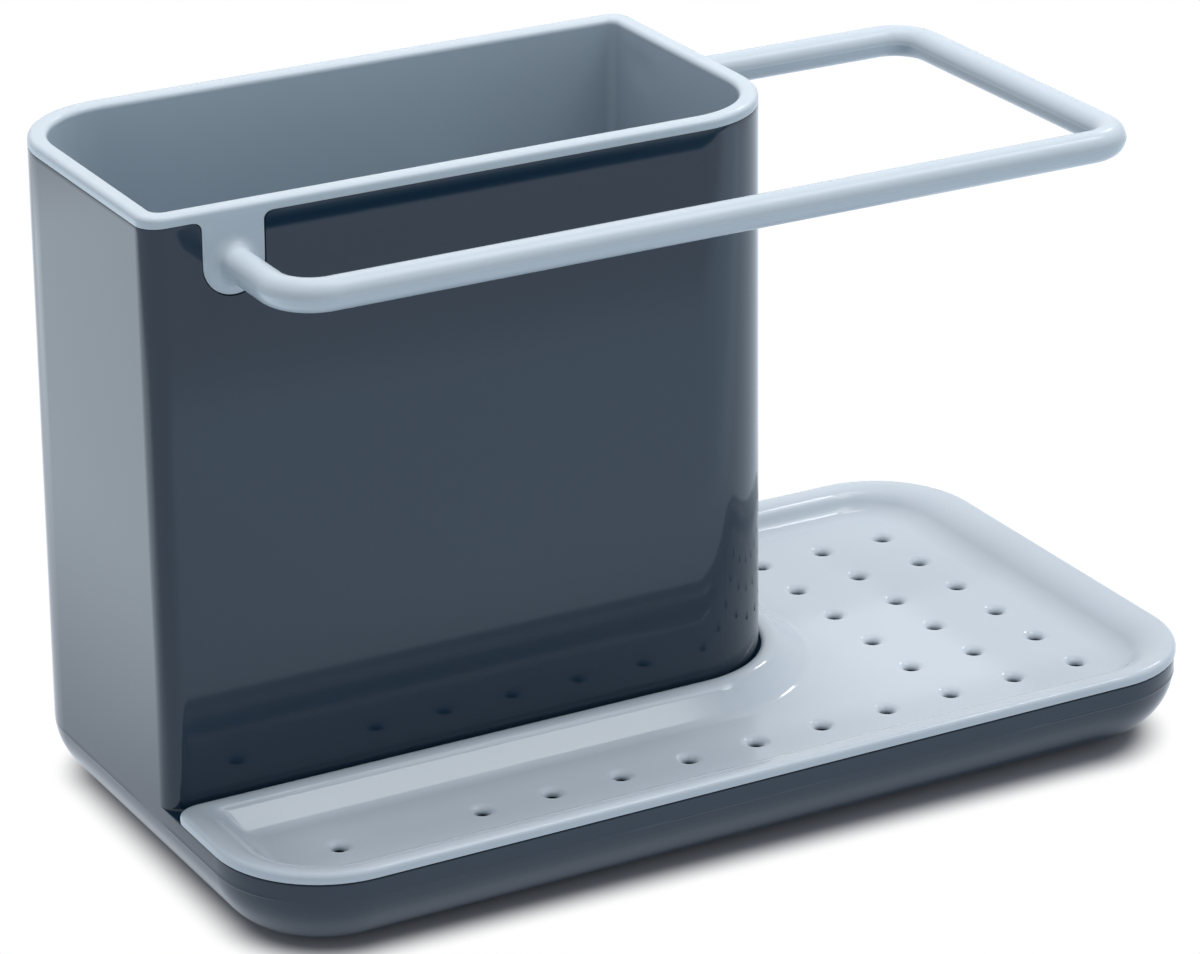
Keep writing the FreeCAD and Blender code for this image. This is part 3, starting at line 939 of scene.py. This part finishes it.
def colour_mix(tree):
    """New node that mixes two colours."""
    mix = add_node(tree, "Mix")
    mix.data_type = "RGBA"
    return mix


def wire(tree, *links):
    """Link sockets: each link gives a node and its output, then a node and its input."""
    for source, output, target, socket in links:
        tree.links.new(source.outputs[output], target.inputs[socket])


def moulded_surface():
    """Shader group for a moulded plastic face: slow mottle of colour, uneven gloss and fine orange peel."""
    group = bpy.data.node_groups.new("moulded_surface", "ShaderNodeTree")
    colour, number = "NodeSocketColor", "NodeSocketFloat"
    for name, kind in (("Tint", colour), ("Shade", colour), ("Mottle Scale", number),
                       ("Peel Scale", number), ("Gloss Low", number), ("Gloss High", number)):
        group.interface.new_socket(name, in_out="INPUT", socket_type=kind)
    for name, kind in (("Colour", colour), ("Roughness", number), ("Height", number)):
        group.interface.new_socket(name, in_out="OUTPUT", socket_type=kind)
    inputs = group.nodes.new("NodeGroupInput")
    outputs = group.nodes.new("NodeGroupOutput")
    place = add_node(group, "TexCoord")
    mottle = add_node(group, "TexNoise", values={"Detail": 3})
    peel = add_node(group, "TexNoise", values={"Detail": 1})
    mix = colour_mix(group)
    gloss = add_node(group, "MapRange")
    gloss.clamp = False
    wire(group,
         (place, "Object", mottle, "Vector"),
         (place, "Object", peel, "Vector"),
         (inputs, "Mottle Scale", mottle, "Scale"),
         (inputs, "Peel Scale", peel, "Scale"),
         (mottle, "Fac", mix, "Factor"),
         (inputs, "Tint", mix, "A"),
         (inputs, "Shade", mix, "B"),
         (mottle, "Fac", gloss, "Value"),
         (inputs, "Gloss Low", gloss, "To Min"),
         (inputs, "Gloss High", gloss, "To Max"),
         (mix, "Result", outputs, "Colour"),
         (gloss, "Result", outputs, "Roughness"),
         (peel, "Fac", outputs, "Height"))
    return group


def plastic(name, group, tint, shade, gloss, peel_depth):
    """Glossy moulded plastic with the shared surface group at this finish's own values."""
    material = bpy.data.materials.new(name)
    material.use_nodes = True
    tree = material.node_tree
    shader = tree.nodes["Principled BSDF"]
    fill(shader, {"IOR": plastic_ior})
    surface = add_node(tree, "Group")
    surface.node_tree = group
    fill(surface, {"Tint": (*tint, 1), "Shade": (*shade, 1), "Mottle Scale": mottle_scale,
                   "Peel Scale": peel_scale, "Gloss Low": gloss[0], "Gloss High": gloss[1]})
    bump = add_node(tree, "Bump", values={"Strength": 1.0, "Distance": peel_depth})
    wire(tree,
         (surface, "Colour", shader, "Base Color"),
         (surface, "Roughness", shader, "Roughness"),
         (surface, "Height", bump, "Height"),
         (bump, "Normal", shader, "Normal"))
    return material


def dress(piece, body, node, material):
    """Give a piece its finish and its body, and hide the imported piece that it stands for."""
    piece.data.materials.clear()
    piece.data.materials.append(material)
    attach(piece, body)
    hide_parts(node)


def cool_in_gloss(tree, rays):
    """Node whose colour is faintly cool in reflections and white otherwise."""
    mix = colour_mix(tree)
    fill(mix, {"A": WHITE, "B": COOL})
    wire(tree, (rays, "Is Glossy Ray", mix, "Factor"))
    return mix


def shadow_edge(tree, rays):
    """Node with the weight of the floor's white, a painted fade that shapes the edge of the shadow: 0 in
    the base's shadow, 1 clear of it.

    It grows with the distance from the base's flat underside, a rectangle with corners of radius r that is
    turned and shifted a little: |max(|p| - half size + r, 0)| - r. Reflections see the white a bit nearer.
    """
    clear = base_corner - base_belly
    half_size = ((right - base_corner - shadow_ends) * MM, (back - base_corner) * MM, 0)
    place = add_node(tree, "TexCoord")
    turned = add_node(tree, "Mapping", values={"Location": (shadow_shift * MM, 0, 0),
                                               "Rotation": (0, 0, math.radians(shadow_turn))})
    folded = add_node(tree, "VectorMath", "ABSOLUTE")
    beyond = add_node(tree, "VectorMath", "SUBTRACT", {1: half_size})
    outside = add_node(tree, "VectorMath", "MAXIMUM", {1: (0, 0, 0)})
    length = add_node(tree, "VectorMath", "LENGTH")
    reach = add_node(tree, "Math", "MULTIPLY_ADD", {1: shadow_in_gloss * MM})
    # Painted fade of the shadow's edge, from the real shade near the base to white
    far = smooth_ramp(tree, {"From Min": (clear + shadow_start) * MM,
                             "From Max": (clear + shadow_end) * MM})
    wire(tree,
         (place, "Object", turned, "Vector"),
         (turned, "Vector", folded, 0),
         (folded, "Vector", beyond, 0),
         (beyond, "Vector", outside, 0),
         (outside, "Vector", length, 0),
         (rays, "Is Glossy Ray", reach, 0),
         (length, "Value", reach, 2),
         (reach, "Value", far, "Value"))
    return far


def make_floor():
    """Large pale floor: white to the camera and in reflections, with the real shadow close to the base,
    made darker and bluer by painted shade in the paper's colour and faded to white by a painted edge.
    """
    mesh = bpy.data.meshes.new("floor")
    corners = [(x * floor_half, y * floor_half, 0) for x, y in ((-1, -1), (1, -1), (1, 1), (-1, 1))]
    mesh.from_pydata(corners, [], [(0, 1, 2, 3)])
    floor = bpy.data.objects.new("floor", mesh)
    bpy.context.scene.collection.objects.link(floor)
    material = bpy.data.materials.new("floor_white")
    material.use_nodes = True
    tree = material.node_tree
    tree.nodes.remove(tree.nodes["Principled BSDF"])
    # The paper is darker and bluer than the white: painted shade where the floor shows beside the base
    shade_paper = add_node(tree, "BsdfDiffuse", values={"Color": floor_shade_paper})
    glow = add_node(tree, "Emission", values={"Strength": 1})
    rays = add_node(tree, "LightPath")
    seen = add_node(tree, "Math", "MAXIMUM")
    given = add_node(tree, "Math", "MAXIMUM", {1: floor_bounce})
    weight = add_node(tree, "Math", "MULTIPLY")
    mix = add_node(tree, "MixShader")
    wire(tree,
         (rays, "Is Camera Ray", seen, 0),
         (rays, "Is Glossy Ray", seen, 1),
         (seen, "Value", given, 0),
         (given, "Value", weight, 0),
         (shadow_edge(tree, rays), "Result", weight, 1),
         (weight, "Value", mix, "Fac"),
         (shade_paper, "BSDF", mix, 1),
         (cool_in_gloss(tree, rays), "Result", glow, "Color"),
         (glow, "Emission", mix, 2),
         (mix, "Shader", tree.nodes["Material Output"], "Surface"))
    mesh.materials.append(material)


def aimed(position, target):
    """Place and turn for a lamp or camera at a position whose -Z points at a target."""
    position, target = np.array(position, float), np.array(target, float)
    behind = (position - target) / np.linalg.norm(position - target)
    side = np.cross((0, 0, 1), behind)
    side = np.array((1, 0, 0)) if np.linalg.norm(side) < WELD else side / np.linalg.norm(side)
    above = np.cross(behind, side)
    turned = Matrix.Identity(4)
    for row in range(3):
        turned[row][0], turned[row][1], turned[row][2] = side[row], above[row], behind[row]
        turned[row][3] = position[row]
    return turned


def soft_box(name, position, target, width, height, radiance, colour=WHITE[:3]):
    """Rectangular soft lamp of a given brightness: power is pi times area times radiance."""
    lamp = bpy.data.lights.new(name, "AREA")
    lamp.color = colour
    lamp.shape = "RECTANGLE"
    lamp.size = width
    lamp.size_y = height
    lamp.energy = math.pi * width * height * radiance
    made = bpy.data.objects.new(name, lamp)
    made.matrix_world = aimed(position, target)
    made.visible_camera = False
    bpy.context.scene.collection.objects.link(made)
    return made


def soften(made, fade):
    """Let a lamp's brightness fade out smoothly over a share of each side.

    On each axis the nearer edge is min(u, 1 - u) away, and the smooth steps from there multiply.
    """
    made.data.use_nodes = True
    tree = made.data.node_tree
    place = add_node(tree, "NewGeometry")
    split = add_node(tree, "SeparateXYZ")
    both = add_node(tree, "Math", "MULTIPLY")
    wire(tree,
         (place, "Parametric", split, "Vector"),
         (both, "Value", tree.nodes["Emission"], "Strength"))
    for slot, axis in enumerate("XY"):
        nearest = add_node(tree, "Math", "PINGPONG", {1: 1 / 2})
        ramp = smooth_ramp(tree, {"From Max": fade})
        wire(tree,
             (split, axis, nearest, 0),
             (nearest, "Value", ramp, "Value"),
             (ramp, "Result", both, slot))
    return made


def soft_card(name, x, y, width, depth, radiance, colour, fade):
    """Dim lamp that lies just above the floor, shines up and fades out to its edges."""
    above = (x, y, 1)
    return soften(soft_box(name, (x, y, card_lift * MM), above, width, depth, radiance, colour), fade)


def make_world():
    """Pale surroundings: white to the camera, even in reflections, and as light dimmer higher up."""
    world = bpy.data.worlds.new("studio")
    bpy.context.scene.world = world
    world.use_nodes = True
    tree = world.node_tree
    background = tree.nodes["Background"]
    fill(background, {"Color": WHITE})
    rays = add_node(tree, "LightPath")
    place = add_node(tree, "TexCoord")
    split = add_node(tree, "SeparateXYZ")
    level = smooth_ramp(tree, {"From Max": haze_top, "To Min": horizon_level, "To Max": high_level})
    in_gloss = add_node(tree, "Mix", values={"B": gloss_level})
    strength = add_node(tree, "Mix", values={"B": 1})
    wire(tree,
         (place, "Generated", split, "Vector"),
         (split, "Z", level, "Value"),
         (rays, "Is Glossy Ray", in_gloss, "Factor"),
         (level, "Result", in_gloss, "A"),
         (rays, "Is Camera Ray", strength, "Factor"),
         (in_gloss, "Result", strength, "A"),
         (strength, "Result", background, "Strength"))


def make_camera():
    """Camera at the photograph's viewing angle, with its long lens."""
    azimuth = math.radians(-29.57)
    elevation = math.radians(22.60)
    distance = 0.9448
    target = np.array([-0.0048, 0, 0.05984])
    behind = np.array([math.sin(azimuth) * math.cos(elevation), -math.cos(azimuth) * math.cos(elevation),
                       math.sin(elevation)])
    camera = bpy.data.cameras.new("camera")
    camera.sensor_width = 36
    camera.lens = 144
    camera.clip_start = 0.01
    made = bpy.data.objects.new("camera", camera)
    made.matrix_world = aimed(target + behind * distance, target)
    bpy.context.scene.collection.objects.link(made)
    bpy.context.scene.camera = made


def make_lamps():
    """Soft lamps overhead and in front, small ones for glints, and cards on the floor for reflections."""
    object_middle = (0, 0, 0.02)
    overhead = soft_box("overhead", position=(0.09, 0.135, 1.0), target=(0.09, 0.135, 0),
                        width=0.36, height=0.36, radiance=23.9, colour=(1.15, 1.0, 0.92))
    overhead.visible_glossy = False
    front_box = soft_box("front_box", position=(0.47, -0.36, 1.0), target=object_middle,
                         width=0.46, height=0.40, radiance=2.5)
    soften(front_box, fade=0.2)
    soft_box("strip", position=(0.335, -0.09, 1.0), target=(0.335, -0.09, 0),
             width=0.37, height=0.11, radiance=3.8)
    soft_box("glint", position=(0.68, -0.15, 1.0), target=object_middle,
             width=0.16, height=0.12, radiance=8)
    soft_box("corner_glint", position=(1.0, 0.6, 0.9), target=object_middle,
             width=0.16, height=0.16, radiance=10)
    soft_card("left_card", x=-0.2575, y=0.20, width=0.325, depth=0.50,
              radiance=1.0, colour=(0.88, 1.01, 1.07), fade=0.24)
    front_card = soft_card("front_card", x=0.20, y=-0.175, width=0.76, depth=0.23,
                           radiance=0.45, colour=(0.4, 0.72, 1.0), fade=0.28)
    right_card = soft_card("right_card", x=0.281, y=0.08, width=0.338, depth=0.45,
                           radiance=0.18, colour=(0.6, 1.0, 1.3), fade=0.12)
    for card in (front_card, right_card):
        card.visible_diffuse = False


def main():
    """Build and dress every piece, then the stage."""
    surface = moulded_surface()
    dark = plastic("dark_plastic", surface, tint=(0.003, 0.017, 0.038), shade=(0.004, 0.020, 0.042),
                   gloss=(0.05, 0.08), peel_depth=2e-6)
    light = plastic("light_plastic", surface, tint=(0.368, 0.455, 0.54), shade=(0.393, 0.481, 0.566),
                    gloss=(0.05, 0.09), peel_depth=2e-6)
    satin = plastic("light_satin", surface, tint=(0.359, 0.452, 0.535), shade=(0.384, 0.478, 0.561),
                    gloss=(0.2, 0.27), peel_depth=2e-6)
    rubber = plastic("foot_rubber", surface, tint=(0.02, 0.02, 0.022), shade=(0.035, 0.035, 0.037),
                     gloss=(0.6, 0.75), peel_depth=3e-5)
    dress(make_body(), "body", "body", dark)
    dress(make_liner(), "liner", "liner", satin)
    dress(make_tray(), "drain_tray", "drain_tray", light)
    for name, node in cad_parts.items():
        if name.startswith("foot_"):
            node.data.materials.clear()
            node.data.materials.append(rubber)
    make_floor()
    make_world()
    make_lamps()
    make_camera()
    bpy.context.scene.view_settings.view_transform = "Standard"


main()
